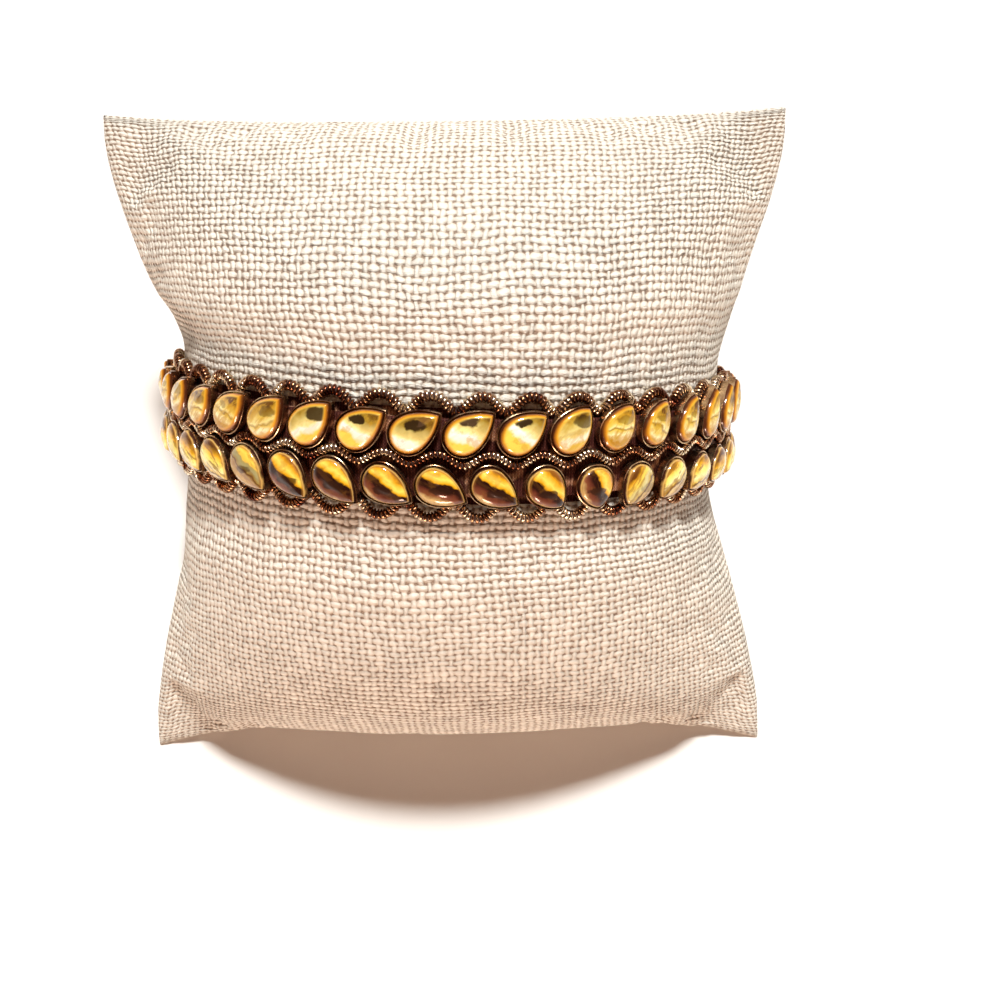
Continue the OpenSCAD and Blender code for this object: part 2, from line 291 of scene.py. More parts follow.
# A smooth curve through the sections' values at a place along the middle line
def sectionAt(place):
    last = len(sectionPlaces) - 2
    number = next((n for n in range(last) if place < sectionPlaces[n + 1]), last)
    span = sectionPlaces[number + 1] - sectionPlaces[number]
    share = min(max((place - sectionPlaces[number]) / span, 0), 1)
    values = []
    for column in range(6):
        slopes = []
        for knot in (number, number + 1):
            low = max(knot - 1, 0)
            high = min(knot + 1, last + 1)
            rise = pillow["sections"][high][column] - pillow["sections"][low][column]
            slopes.append(rise / (sectionPlaces[high] - sectionPlaces[low]) * span)
        start = pillow["sections"][number][column]
        end = pillow["sections"][number + 1][column]
        curve = start + slopes[0] * share
        curve += (3 * (end - start) - 2 * slopes[0] - slopes[1]) * share ** 2
        curve += (2 * (start - end) + slopes[0] + slopes[1]) * share ** 3
        low, high = sorted((start, end))
        values.append(min(max(curve, low), high) if column < 5 else curve)
    return values


# Places of the thread rows: evenly spaced seen from in front, closer on the steep cloth next to the seams
def rowTable():
    count = threadSpacing["steps"]
    places = [middleLength * n / count for n in range(count + 1)]
    sections = [sectionAt(place) for place in places]
    rowsAt = [0.0]
    for before, after in zip(sections, sections[1:]):
        rise = after[0] - before[0]
        along = math.hypot(rise, after[2] - before[2])
        nearSeam = max(0, abs(after[0]) - threadSpacing["seamStart"])
        seenRise = rise * (threadSpacing["upward"] + threadSpacing["seamExtra"] * nearSeam)
        rowsAt.append(rowsAt[-1] + max(seenRise, threadSpacing["along"] * along))
    return rowsAt


threadRows = rowTable()


def threadRow(place):
    spot = min(max(place / middleLength, 0), 1) * (len(threadRows) - 1)
    number = min(int(spot), len(threadRows) - 2)
    return threadRows[number] + (threadRows[number + 1] - threadRows[number]) * (spot - number)


# Half of a section's outline, and how long it is, from the middle of a face (share 0) to the side (share 1)
def halfSection(halfWidth, depth, sideRadius, share):
    sideRadius = min(sideRadius, depth * pillow["roundestSide"])
    big = faceRadius(halfWidth, depth, sideRadius)
    turn = faceAngle(halfWidth, depth, sideRadius)
    whole = big * turn + sideRadius * (math.pi / 2 - turn)
    along = share * whole
    if along <= big * turn:
        return big * math.sin(along / big), depth - big + big * math.cos(along / big), whole
    angle = turn + (along - big * turn) / sideRadius
    return halfWidth - sideRadius + sideRadius * math.sin(angle), sideRadius * math.cos(angle), whole


# A point of the pillow. Round runs from -1 to 1 over the front and from 1 to 3 over the back.
def pillowPoint(place, around):
    height, halfWidth, front, back, sideRadius, bow = sectionAt(place)
    onFront = around <= 1
    share = around if onFront else 2 - around
    x, z, whole = halfSection(halfWidth, front if onFront else back, sideRadius, abs(share))
    x = math.copysign(x, share)
    z = z if onFront else -z
    turn = loop["slope"] * math.exp(-((height - loop["lift"]) / loop["slopeReach"]) ** 4)
    y = height + bow * (1 - (abs(x) / halfWidth) ** 3) - loop["lift"]
    point = Vector((
        x * math.cos(turn) - y * math.sin(turn),
        loop["lift"] + x * math.sin(turn) + y * math.cos(turn),
        z,
    ))
    return point, share * whole


def pillowGrid(columns, rowCount):
    bm = bmesh.new()
    bmesh.ops.create_grid(bm, x_segments=columns, y_segments=rowCount, size=0.5)
    uv = bm.loops.layers.uv.new("threads")
    placed = {}
    for vert in bm.verts:
        around = 4 * (vert.co.x + 0.5) - 1
        place = middleLength * (vert.co.y + 0.5)
        placed[vert] = (*pillowPoint(place, around), place, around)
    for face in bm.faces:
        onBack = face.calc_center_median().x > 0
        for corner in face.loops:
            point, along, place, around = placed[corner.vert]
            if onBack and around <= 1:
                along = pillowPoint(place, 1.0001)[1]  # just past the side, on the back
            corner[uv].uv = (along, threadRow(place))
    for vert, (point, *_) in placed.items():
        vert.co = point
    return bm


# Fills the cover in a coarse cloth simulation and returns how far each of its points moves, in millimetres
def swellCover(columns, rowCount):
    bm = pillowGrid(columns, rowCount)
    firstPlaces = [vert.co.copy() for vert in bm.verts]
    bmesh.ops.scale(bm, vec=[filling["toTrial"]] * 3, verts=bm.verts)
    mesh = bpy.data.meshes.new("coverTrial")
    bm.to_mesh(mesh)
    bm.free()
    trial = bpy.data.objects.new("coverTrial", mesh)
    bpy.context.scene.collection.objects.link(trial)
    held = trial.vertex_groups.new(name="held")
    for number, point in enumerate(firstPlaces):
        nearBand = abs(point.y - loop["lift"]) < filling["bandHold"]
        atSeam = abs(point.z) < filling["seamHold"]
        pressed = (pillowToRow @ point).z < filling["tableHold"] * metres
        if nearBand or atSeam or pressed:
            held.add([number], 1.0, "REPLACE")
    cloth = trial.modifiers.new("filling", "CLOTH")
    cloth.settings.vertex_group_mass = "held"
    cloth.settings.use_pressure = True
    cloth.settings.uniform_pressure_force = filling["pressure"]
    cloth.settings.shrink_min = filling["shrink"]
    cloth.settings.effector_weights.gravity = 0
    cloth.point_cache.frame_end = filling["frames"]
    for number in range(1, filling["frames"] + 1):
        bpy.context.scene.frame_set(number)
    settled = trial.evaluated_get(bpy.context.evaluated_depsgraph_get())
    settledVerts = settled.data.vertices
    moves = [vert.co * filling["fromTrial"] - first for vert, first in zip(settledVerts, firstPlaces)]
    bpy.context.scene.frame_set(1)
    bpy.data.objects.remove(trial)
    return moves


def eased(share):
    return share * share * (3 - 2 * share)


# How far the cover moves at a place on it, given as shares of the way round it and up it
def swellAt(moves, columns, rowCount, around, upward):
    x = min(max(around, 0), 1) * columns
    y = min(max(upward, 0), 1) * rowCount
    left = min(int(x), columns - 1)
    low = min(int(y), rowCount - 1)
    below = low * (columns + 1) + left
    above = below + columns + 1
    lowMove = moves[below].lerp(moves[below + 1], eased(x - left))
    highMove = moves[above].lerp(moves[above + 1], eased(x - left))
    return lowMove.lerp(highMove, eased(y - low))


# Linen: plain weave with thicker cross threads, each thread wandering, slubby and a little its own tone
linen = {
    "pitch": 0.88, "relief": 0.40,
    # ways in which the threads stray: scale of the noise, reach
    "wander": (0.11, 1.3), "jog": (0.85, 0.55), "sway": (0.09, 1.7), "jolt": (0.75, 0.60),
    # a thread: thinnest half width and swelling where it lies on top, as shares of the pitch, and thickness
    "weft": (0.22, 0.13, 0.62), "warp": (0.16, 0.11, 0.50), "slub": 0.34, "slubScale": 0.30,
    "domePower": 0.85, "crimp": 0.40, "crossing": 0.10, "ownTone": 0.40, "weftApart": 7.31, "warpApart": 5.17,
    "fuzz": 0.45, "fuzzScale": 1.6, "fuzzAcross": 1.4, "fuzzAlong": 4.0,
    "clouds": 0.25, "cloudScale": 0.05, "cloud": (0.82, 0.72, 0.60, 1),
    "finish": {
        "Roughness": 0.92, "Specular IOR Level": 0.2,
        "Sheen Weight": 0.06, "Sheen Roughness": 0.6, "Sheen Tint": (1.0, 0.86, 0.78, 1),
    },
    # painted shade: these colours run from dark at the lowest parts of the weave to cream at the thread tops,
    # so the holes between threads are painted dark; random fibre fuzz and slubs also move it
    "toneAndPaintedHoleShade": [
        (0.0, (0.21, 0.125, 0.080)), (0.15, (0.46, 0.35, 0.255)),
        (0.34, (0.72, 0.645, 0.53)), (0.75, (0.87, 0.835, 0.745)),
    ],
}


def linenMaterial():
    material, tree, shader = startMaterial("creamLinen")
    across, along = uvParts(tree, "threads")
    # the third coordinates only keep the noises apart
    flat = joinXyz(tree, across, along, 0.0)
    shifted = joinXyz(tree, across, along, 31.0)

    def stray(vector, scale, reach):
        return calc(tree, "MULTIPLY", calc(tree, "SUBTRACT", grain(tree, vector, scale, 2), 0.5), reach)

    wander = calc(tree, "ADD", stray(flat, *linen["wander"]), stray(flat, *linen["jog"]))
    sway = calc(tree, "ADD", stray(shifted, *linen["sway"]), stray(shifted, *linen["jolt"]))
    columnsAt = calc(tree, "DIVIDE", calc(tree, "ADD", across, wander), linen["pitch"])
    rowsAt = calc(tree, "DIVIDE", calc(tree, "ADD", along, sway), linen["pitch"])
    column = calc(tree, "FLOOR", columnsAt)
    row = calc(tree, "FLOOR", rowsAt)
    inColumn = calc(tree, "SUBTRACT", calc(tree, "FRACT", columnsAt), 0.5)
    inRow = calc(tree, "SUBTRACT", calc(tree, "FRACT", rowsAt), 0.5)
    odd = calc(tree, "FLOORED_MODULO", calc(tree, "ADD", column, row), 2.0)
    over = calc(tree, "SUBTRACT", 1.0, calc(tree, "MULTIPLY", odd, 2.0))  # 1 with the weft on top, else -1
    weftRise = calc(tree, "MULTIPLY", over, calc(tree, "COSINE", calc(tree, "MULTIPLY", inColumn, math.pi)))
    warpTurn = calc(tree, "COSINE", calc(tree, "MULTIPLY", inRow, math.pi))
    warpRise = calc(tree, "MULTIPLY", calc(tree, "MULTIPLY", over, -1.0), warpTurn)
    weftSlubs = calc(tree, "MULTIPLY", columnsAt, linen["slubScale"])
    warpSlubs = calc(tree, "MULTIPLY", rowsAt, linen["slubScale"])
    # each thread reads its own stretch of the noise, a few units from its neighbour's
    ownRow = calc(tree, "MULTIPLY", row, linen["weftApart"])
    ownColumn = calc(tree, "MULTIPLY", column, linen["warpApart"])
    weftNoise = grain(tree, joinXyz(tree, weftSlubs, ownRow, 0.0), 1.0, 2)
    warpNoise = grain(tree, joinXyz(tree, ownColumn, warpSlubs, 9.0), 1.0, 2)

    def threadHeight(offset, noiseHere, rise, thinnest, swelling, thickness):
        half = calc(tree, "MULTIPLY_ADD", noiseHere, linen["slub"], thinnest)
        share = calc(tree, "DIVIDE", offset, calc(tree, "MULTIPLY_ADD", rise, swelling, half))
        inside = calc(tree, "MAXIMUM", calc(tree, "SUBTRACT", 1.0, calc(tree, "MULTIPLY", share, share)), 0.0)
        dome = calc(tree, "POWER", inside, linen["domePower"])
        return calc(tree, "MULTIPLY", dome, calc(tree, "MULTIPLY_ADD", rise, linen["crimp"], thickness))

    weft = threadHeight(inRow, weftNoise, weftRise, *linen["weft"])
    warp = threadHeight(inColumn, warpNoise, warpRise, *linen["warp"])
    surface = calc(tree, "SMOOTH_MAX", weft, warp, linen["crossing"])
    fuzzAcross = calc(tree, "MULTIPLY", across, linen["fuzzAcross"])
    fuzzAlong = calc(tree, "MULTIPLY", along, linen["fuzzAlong"])
    fibres = grain(tree, joinXyz(tree, fuzzAcross, fuzzAlong, 3.0), linen["fuzzScale"], 3, 0.6)
    lifted = calc(tree, "MULTIPLY_ADD", calc(tree, "SUBTRACT", fibres, 0.5), linen["fuzz"], surface)
    # painted shade: colour from the weave's height, dark in the holes between threads
    colour = ramp(tree, lifted, linen["toneAndPaintedHoleShade"])
    bothNoises = calc(tree, "ADD", weftNoise, warpNoise)
    threadTone = calc(tree, "MULTIPLY_ADD", bothNoises, linen["ownTone"], 1 - linen["ownTone"])
    colour = mixColour(tree, 1.0, colour, joinXyz(tree, threadTone, threadTone, threadTone), "MULTIPLY")
    cloudy = calc(tree, "MULTIPLY", grain(tree, flat, linen["cloudScale"], 3), linen["clouds"])
    colour = mixColour(tree, cloudy, colour, linen["cloud"])
    tree.links.new(colour, shader.inputs["Base Color"])
    tree.links.new(bump(tree, lifted, linen["relief"] * metres), shader.inputs["Normal"])
    setFinish(shader, linen["finish"])
    return material


def buildPillow():
    bm = pillowGrid(pillow["columns"], pillow["rows"])
    moves = None
    moves = swellCover(filling["columns"], filling["rows"])
    print("cover filled, largest move", round(max(move.length for move in moves), 2), "mm")
    for vert in bm.verts:
        point = vert.co.copy()
        seamDistance = min(abs(point.y - pillow["seamHeight"]), abs(point.y + pillow["seamHeight"]))
        seamDistance += abs(point.z) * pillow["depthShare"]
        nearSeam = max(0, 1 - seamDistance / pillow["puckerReach"]) ** 2
        foldsAcross, foldsUp, faceOffset = pillow["foldScale"]
        foldPlace = Vector((point.x * foldsAcross, point.y * foldsUp, math.copysign(faceOffset, point.z)))
        folds = noise.noise(foldPlace)
        outward = Vector((0, 0, math.copysign(1, point.z)))
        point += outward * folds * nearSeam * pillow["pucker"] * min(abs(point.z), 1)
        if moves:
            number = vert.index
            around = (number % (pillow["columns"] + 1)) / pillow["columns"]
            upward = (number // (pillow["columns"] + 1)) / pillow["rows"]
            place = upward * middleLength
            move = swellAt(moves, filling["columns"], filling["rows"], around, upward)
            # the outline keeps its line: near the sides the filling pushes the faces out, not the edges
            awayFromSide = max(0, 1 - (abs(point.x) / sectionAt(place)[1]) ** 6)
            move.x *= filling["sideways"] + (1 - filling["sideways"]) * awayFromSide
            if move.length > filling["largestMove"]:
                move *= filling["largestMove"] / move.length
            # none near the band, and little where the cloth is thin at the seams
            bandDistance = abs(point.y - loop["lift"])
            fade = min(max((bandDistance - filling["fadeStart"]) / filling["fadeLength"], 0), 1)
            fade *= min(abs(point.z) / filling["fullDepth"], 1)
            point += move * eased(fade)
        vert.co = pillowToRow @ point
        vert.co.z = max(vert.co.z, 0)
    bmesh.ops.remove_doubles(bm, verts=bm.verts, dist=pillow["mergeReach"] * metres)
    bmesh.ops.recalc_face_normals(bm, faces=bm.faces)
    if bm.calc_volume(signed=True) < 0:  # recalculating can leave the whole cover facing inward
        bmesh.ops.reverse_faces(bm, faces=bm.faces)
    piece = addPiece(bm, "linenPillow", [linenMaterial()], ["pillow"], math.radians(180))


# Woven ribbon that everything is sewn to, and a thin tape at its inner face under the scalloped cords
ribbon = {
    "width": 8.2, "thickness": 1.0, "edgeRound": 0.22, "edgeSegments": 3, "cuts": 640, "ribPitch": 0.34,
    "tapeWidth": 10.1, "tapeThickness": 0.06,
    "weave": 0.35, "fuzz": 0.8, "fuzzScale": 0.8, "weaveDepth": 0.06,
    # painted shade: the ribbon's colour darkens where its weave lies low; random fuzz also varies it
    "shade": (0.45, 0.35),  # share of the weave's height, and what is added to it
    "patches": (0.54, 0.66), "patchScale": 0.42,
    "finish": {"Metallic": 0.1, "Roughness": 0.55, "Specular IOR Level": 0.12},
    "dark": [(0.0, (0.014, 0.003, 0.002)), (0.5, (0.050, 0.011, 0.008)), (1.0, (0.155, 0.050, 0.032))],
    "bright": [(0.0, (0.10, 0.032, 0.018)), (0.5, (0.34, 0.155, 0.085)), (1.0, (0.70, 0.45, 0.28))],
}


def ribbonMaterial():
    material, tree, shader = startMaterial("copperRibbon")
    along, across = uvParts(tree, "weave")
    ribs = calc(tree, "SINE", calc(tree, "MULTIPLY", along, 2 * math.pi / ribbon["ribPitch"]))
    threads = calc(tree, "SINE", calc(tree, "MULTIPLY", across, 2 * math.pi / ribbon["ribPitch"]))
    crossed = calc(tree, "ADD", ribs, calc(tree, "MULTIPLY", ribs, threads))
    woven = calc(tree, "MULTIPLY", crossed, ribbon["weave"])
    flat = joinXyz(tree, along, across, 0.0)
    fuzz = grain(tree, flat, ribbon["fuzzScale"], 4, 0.6)
    height = calc(tree, "MULTIPLY_ADD", fuzz, ribbon["fuzz"], woven)
    patches = step(tree, grain(tree, flat, ribbon["patchScale"], 2), *ribbon["patches"])
    # painted shade: darker in the low parts of the weave, plus random fuzz
    shade = calc(tree, "MULTIPLY_ADD", height, *ribbon["shade"])
    colour = mixColour(tree, patches, ramp(tree, shade, ribbon["dark"]), ramp(tree, shade, ribbon["bright"]))
    tree.links.new(colour, shader.inputs["Base Color"])
    tree.links.new(bump(tree, height, ribbon["weaveDepth"] * metres), shader.inputs["Normal"])
    setFinish(shader, ribbon["finish"])
    return material


def longEdges(bm):
    return [edge for edge in bm.edges if abs(edge.verts[0].co.x - edge.verts[1].co.x) > 1]


def buildRibbon():
    bm = bmesh.new()
    length = bandRight - bandLeft
    middle = (bandLeft + bandRight) / 2
    thickness = ribbon["thickness"]
    tapeThickness = ribbon["tapeThickness"]
    addBlock(bm, (length, ribbon["width"], thickness), (middle, 0, thickness / 2))
    roundEdges(bm, longEdges(bm), ribbon["edgeRound"], ribbon["edgeSegments"])
    addBlock(bm, (length, ribbon["tapeWidth"], tapeThickness), (middle, 0, tapeThickness / 2))
    bmesh.ops.subdivide_edges(bm, edges=longEdges(bm), cuts=ribbon["cuts"], use_grid_fill=True)
    uv = bm.loops.layers.uv.new("weave")
    for face in bm.faces:
        for corner in face.loops:
            corner[uv].uv = (corner.vert.co.x, corner.vert.co.y + corner.vert.co.z)
    for vert in bm.verts:
        vert.co = bandToRow @ bandPoint(vert.co.x, vert.co.y, vert.co.z)
    bmesh.ops.recalc_face_normals(bm, faces=bm.faces)
    addPiece(bm, "wovenRibbon", [ribbonMaterial()], ["ribbon_band"])


# The three wavy cords: bronze wire wound closely round a dark thread
gimp = {
    "wireRadius": 0.17, "turnPitch": 0.46, "stepsPerTurn": 12, "wireSides": 6,
    "coreSides": 8, "coreStep": 0.25, "coreInset": 0.06,
    "endGap": 0.28, "mergeReach": 0.002, "lineSteps": 6000,
    # scales of the patterns in cycles per metre, depths in millimetres
    "tarnish": 420, "smears": 900, "scratches": 2600, "scratchDepth": 0.02,
    "roughness": (0.22, 0.12),  # what the smears add, and the least
    "fibres": 3000, "fibreDepth": 0.03, "coreRoughness": 0.85,
    "bronze": [(0.34, (0.115, 0.028, 0.014)), (0.48, (0.42, 0.205, 0.100)), (0.60, (0.98, 0.84, 0.61))],
    "core": [(0.3, (0.020, 0.008, 0.006)), (0.7, (0.075, 0.030, 0.022))],
}
# Crest rounds a wave's crowns and sharpens its troughs. The middle cord's crowns lie over the lower stones'
# round ends.
waves = {
    "upper": {
        "line": 5.72, "swing": 0.79, "crest": -0.14, "pitch": 5.42, "crown": -1.1,
        "height": 0.67, "radius": 0.61,
    },
    "middle": {
        "line": 0.0, "swing": 0.55, "crest": -0.05, "pitch": rows["pitch"],
        "crown": rows["middle"] - 0.5 * rows["pitch"] - rows["offset"] - 0.6,
        "height": 1.61, "radius": 0.54,
    },
    "lower": {
        "line": -5.72, "swing": -0.79, "crest": -0.14, "pitch": 5.42, "crown": -1.1,
        "height": 0.66, "radius": 0.60,
    },
}


def bronzeMaterial():
    material, tree, shader = startMaterial("bronzeWire")
    place = objectPlace(tree)
    tarnish = grain(tree, place, gimp["tarnish"], 3, 0.6)
    tree.links.new(ramp(tree, tarnish, gimp["bronze"]), shader.inputs["Base Color"])
    roughness = calc(tree, "MULTIPLY_ADD", grain(tree, place, gimp["smears"], 2), *gimp["roughness"])
    tree.links.new(roughness, shader.inputs["Roughness"])
    scratches = bump(tree, grain(tree, place, gimp["scratches"], 2), gimp["scratchDepth"] * metres, 0.5)
    tree.links.new(scratches, shader.inputs["Normal"])
    shader.inputs["Metallic"].default_value = 1.0
    return material


def coreMaterial():
    material, tree, shader = startMaterial("darkCoreThread")
    place = objectPlace(tree)
    fibres = grain(tree, place, gimp["fibres"], 3, 0.6)
    tree.links.new(ramp(tree, fibres, gimp["core"]), shader.inputs["Base Color"])
    tree.links.new(bump(tree, fibres, gimp["fibreDepth"] * metres), shader.inputs["Normal"])
    shader.inputs["Roughness"].default_value = gimp["coreRoughness"]
    return material


# The wave's middle line in fine steps, and the length along it up to each step
def waveLine(wave, start, end):
    count = gimp["lineSteps"]
    places = [start + (end - start) * n / count for n in range(count + 1)]
    points = []
    lengths = [0.0]
    for place in places:
        turn = 2 * math.pi * (place - wave["crown"]) / wave["pitch"]
        across = wave["line"] + wave["swing"] * (math.cos(turn) + wave["crest"] * math.cos(2 * turn))
        points.append(bandPoint(place, across, wave["height"]))
        if len(points) > 1:
            lengths.append(lengths[-1] + (points[-1] - points[-2]).length)
    return places, points, lengths


# Bends a straight cord, lying along x, to its wave on the band
def bendToWave(verts, places, points, lengths):
    count = len(points) - 1
    frames = []
    for number, point in enumerate(points):
        ahead = points[min(number + 1, count)] - points[max(number - 1, 0)]
        ahead.normalize()
        turn = loopArc(places[number])[0]
        outward = Vector((math.sin(turn), 0, math.cos(turn)))
        frames.append((point, outward, outward.cross(ahead)))
    ordered = sorted(verts, key=lambda vert: vert.co.x)
    number = 0
    for vert in ordered:
        while number < count - 1 and lengths[number + 1] < vert.co.x:
            number += 1
        share = (vert.co.x - lengths[number]) / (lengths[number + 1] - lengths[number])
        low, high = frames[number], frames[number + 1]
        point = low[0].lerp(high[0], share)
        outward = low[1].lerp(high[1], share)
        sideways = low[2].lerp(high[2], share)
        vert.co = bandToRow @ (point + sideways * vert.co.y + outward * vert.co.z)


# Where along x the middle of a point's own ring lies, so that a tube is cut off between two rings
def ringPlace(point, turnLength, winding):
    if not winding:
        return point.x
    share = math.atan2(-point.y, point.z) / (2 * math.pi)
    return turnLength * (share + round(point.x / turnLength - share))


# A straight tube along x, wound round it or plain, made from one turn that is doubled until it is long enough
def straightTube(bm, sides, radius, offset, turnLength, turnSteps, winding, length):
    known = set(bm.verts)
    ring = bmesh.ops.create_circle(bm, segments=sides, radius=radius)["verts"]
    upright = Matrix.Rotation(math.radians(90), 3, "X" if winding else "Y")
    bmesh.ops.rotate(bm, cent=(0, 0, 0), matrix=upright, verts=ring)
    bmesh.ops.translate(bm, vec=(0, 0, offset), verts=ring)
    ringEdges = list(dict.fromkeys(edge for vert in ring for edge in vert.link_edges))
    stepAlong = (turnLength / turnSteps, 0, 0)
    bmesh.ops.spin(bm, geom=ring + ringEdges, cent=(0, 0, 0), axis=(1, 0, 0), dvec=stepAlong,
                   angle=2 * math.pi * winding, steps=turnSteps, use_merge=False, use_duplicate=False)
    turns = 1
    while turns * turnLength < length:
        own = [vert for vert in bm.verts if vert not in known]
        faces = list(dict.fromkeys(face for vert in own for face in vert.link_faces))
        made = bmesh.ops.duplicate(bm, geom=faces)["geom"]
        copies = [item for item in made if isinstance(item, bmesh.types.BMVert)]
        bmesh.ops.translate(bm, vec=(turns * turnLength, 0, 0), verts=copies)
        turns *= 2
    own = [vert for vert in bm.verts if vert not in known]
    spare = [vert for vert in own if ringPlace(vert.co, turnLength, winding) > length - radius]
    bmesh.ops.delete(bm, geom=spare, context="VERTS")
    own = [vert for vert in bm.verts if vert not in known]
    bmesh.ops.remove_doubles(bm, verts=own, dist=gimp["mergeReach"])


def buildGimp(name, wave, node, materials):
    places, points, lengths = waveLine(wave, bandLeft + gimp["endGap"], bandRight - gimp["endGap"])
    length = lengths[-1]
    bm = bmesh.new()
    coilRadius = wave["radius"] - gimp["wireRadius"]
    straightTube(bm, gimp["wireSides"], gimp["wireRadius"], coilRadius, gimp["turnPitch"],
                 gimp["stepsPerTurn"], 1, length)
    coilFaces = len(bm.faces)
    straightTube(bm, gimp["coreSides"], coilRadius - gimp["coreInset"], 0, gimp["coreStep"], 1, 0, length)
    bm.faces.ensure_lookup_table()
    for face in bm.faces[coilFaces:]:
        face.material_index = 1
    openEdges = [edge for edge in bm.edges if edge.is_boundary]
    bmesh.ops.holes_fill(bm, edges=openEdges, sides=0)
    bendToWave(bm.verts, places, points, lengths)
    bmesh.ops.recalc_face_normals(bm, faces=bm.faces)
    addPiece(bm, name, materials, [node], math.radians(60))


# Stones and their cups, both pear shaped, with the tip towards +x before they are turned.
# The leaf is the streaky look of the stones away from the front's middle.
stone = {
    "girdle": 0.6, "thickness": 1.5, "bevel": 1.15, "points": 44, "rimRings": 6, "tableRings": 3,
    "tableDome": 0.20, "patternReach": 1.875, "besideShares": (0.7, 0.3),
    "frontMiddle": -1, "leafStarts": (12, 18), "leafBlend": 8, "seeds": (11, 29),
}
cup = {
    "wall": 0.26, "lip": 0.13, "foot": 0.5, "footBase": 1.08, "height": 0.95, "points": 40,
    "floor": 0.3, "linedFrom": 0.28, "linedTo": 0.45,
    "rimHeight": 0.6, "rimWave": 0.05, "rimWaves": 3, "seeds": (5, 17),
}
# Along the front: place, direction of the tip, length, width, bluntness of the tip, and share of the row's
# distance from the middle
upperTurns = [
    (-30, 46, 5.7, 3.80, 0.80, 1.00), (-22, 42, 5.8, 3.90, 0.75, 1.00), (-14, 42, 5.8, 4.00, 0.70, 1.00),
    (-8, 38, 5.7, 3.95, 0.75, 1.00), (6, 36, 5.7, 3.95, 0.75, 1.00), (11, 46, 5.6, 4.00, 0.66, 1.00),
    (17, 58, 5.3, 4.05, 0.50, 1.00), (22, 62, 5.1, 3.85, 0.50, 1.00), (28, 66, 5.1, 3.70, 0.60, 1.00),
    (34, 78, 5.6, 3.50, 0.85, 1.00),
]
lowerTurns = [
    (-34, -32, 5.8, 3.80, 0.85, 1.00), (-27, -38, 5.8, 3.85, 0.80, 1.00), (-16, -42, 5.8, 3.90, 0.75, 1.00),
    (-9, -35, 5.6, 3.85, 0.75, 1.00), (0, -29, 5.5, 3.80, 0.75, 1.00), (6, -30, 5.4, 3.80, 0.72, 1.00),
    (11.5, -50, 4.8, 4.00, 0.50, 1.01), (17, -80, 4.5, 4.20, 0.38, 1.03), (22.7, -128, 4.8, 3.95, 0.45, 1.10),
    (28.6, -142, 5.1, 3.75, 0.60, 1.13), (34, -146, 5.1, 3.70, 0.70, 1.14),
]


def pearSide(angle, tip):
    return math.sin(angle) * math.sin(angle / 2) ** tip


def pearOutline(angle, length, width, tip):
    angle = angle % (2 * math.pi)
    peak = math.acos(-tip / (2 + tip))  # where the side is widest
    side = pearSide(angle, tip) if angle <= math.pi else -pearSide(2 * math.pi - angle, tip)
    return length / 2 * math.cos(angle), width / 2 * side / pearSide(peak, tip)


def turnAt(turns, place):
    if place <= turns[0][0]:
        return turns[0][1:]
    for before, after in zip(turns, turns[1:]):
        if place <= after[0]:
            share = (place - before[0]) / (after[0] - before[0])
            return tuple(low + (high - low) * share for low, high in zip(before[1:], after[1:]))
    return turns[-1][1:]


# Each stone's place, distance from the band's middle line, direction, length, width and tip
def stonePlaces(upper):
    found = []
    dice = random.Random(rows["seeds"][0 if upper else 1])
    side = 1 if upper else -1
    for number in range(rows["count"]):
        place = rows["middle"] + (number - (rows["count"] - 1) / 2) * rows["pitch"] + side * rows["offset"]
        direction, length, width, tip, share = turnAt(upperTurns if upper else lowerTurns, place)
        direction += dice.uniform(-rows["jitter"], rows["jitter"])
        length *= dice.uniform(*rows["lengthJitter"])
        across = side * rows["line"] * share
        direction = math.radians(direction)
        if upper:
            place += rows["pivot"] * (math.cos(direction) - math.cos(rows["straight"]))
            across += rows["pivot"] * (math.sin(direction) - math.sin(rows["straight"]))
        found.append((place, across, direction, length, width, tip))
    return found


# A closed pear-shaped skin, from rings of (share of the outline, distance outside it, height)
def pearSkin(bm, points, pear, rings):
    length, width, tip = pear
    verts = bmesh.ops.create_grid(bm, x_segments=points, y_segments=len(rings) - 1, size=0.5)["verts"]
    for vert in verts:
        share, outward, height = rings[round((vert.co.y + 0.5) * (len(rings) - 1))]
        angle = 2 * math.pi * (vert.co.x + 0.5)
        x, y = pearOutline(angle, length + 2 * outward, width + 2 * outward, tip)
        vert.co = (x * share, y * share, height)
    bmesh.ops.remove_doubles(bm, verts=verts, dist=0.0001)
    return [vert for vert in verts if vert.is_valid]


# The stone's profile from the middle of its back, over the girdle and the rounded rim, to its domed table
def stoneRings():
    rings = [(0, 0, 0), (0.6, 0, 0), (1, -0.10, 0.0), (1, -0.02, 0.08), (1, 0, 0.2), (1, 0, stone["girdle"])]
    rise = stone["thickness"] - stone["girdle"] - stone["tableDome"]
    for number in range(1, stone["rimRings"] + 1):
        angle = math.pi / 2 * number / stone["rimRings"]
        rings.append((1, -stone["bevel"] * (1 - math.cos(angle)), stone["girdle"] + rise * math.sin(angle)))
    for number in range(1, stone["tableRings"] + 1):
        share = 1 - number / stone["tableRings"]
        dome = stone["tableDome"] * (1 - share ** 2)
        rings.append((share, -stone["bevel"], stone["thickness"] - stone["tableDome"] + dome))
    return rings


# The cup's profile from the middle of its foot, up its outside, over its lip and down to its floor
def cupRings():
    base = layers["cupBase"]
    top = base + cup["height"]
    floor = base + cup["floor"]
    outer = cup["wall"]
    inner = outer - cup["lip"]
    return [
        (0, 0, cup["footBase"]), (cup["foot"], 0, cup["footBase"]), (cup["foot"], 0, base),
        (1, outer - 0.16, base), (1, outer - 0.05, base + 0.05), (1, outer, base + 0.16),
        (1, outer - 0.02, top - 0.22), (1, outer, top - 0.10), (1, outer, top - 0.04), (1, outer - 0.05, top),
        (1, inner + 0.02, top - 0.01), (1, inner, top - 0.07), (1, inner - 0.02, base + 0.42),
        (1, inner - 0.10, floor), (0.5, 0, floor), (0, 0, floor),
    ]
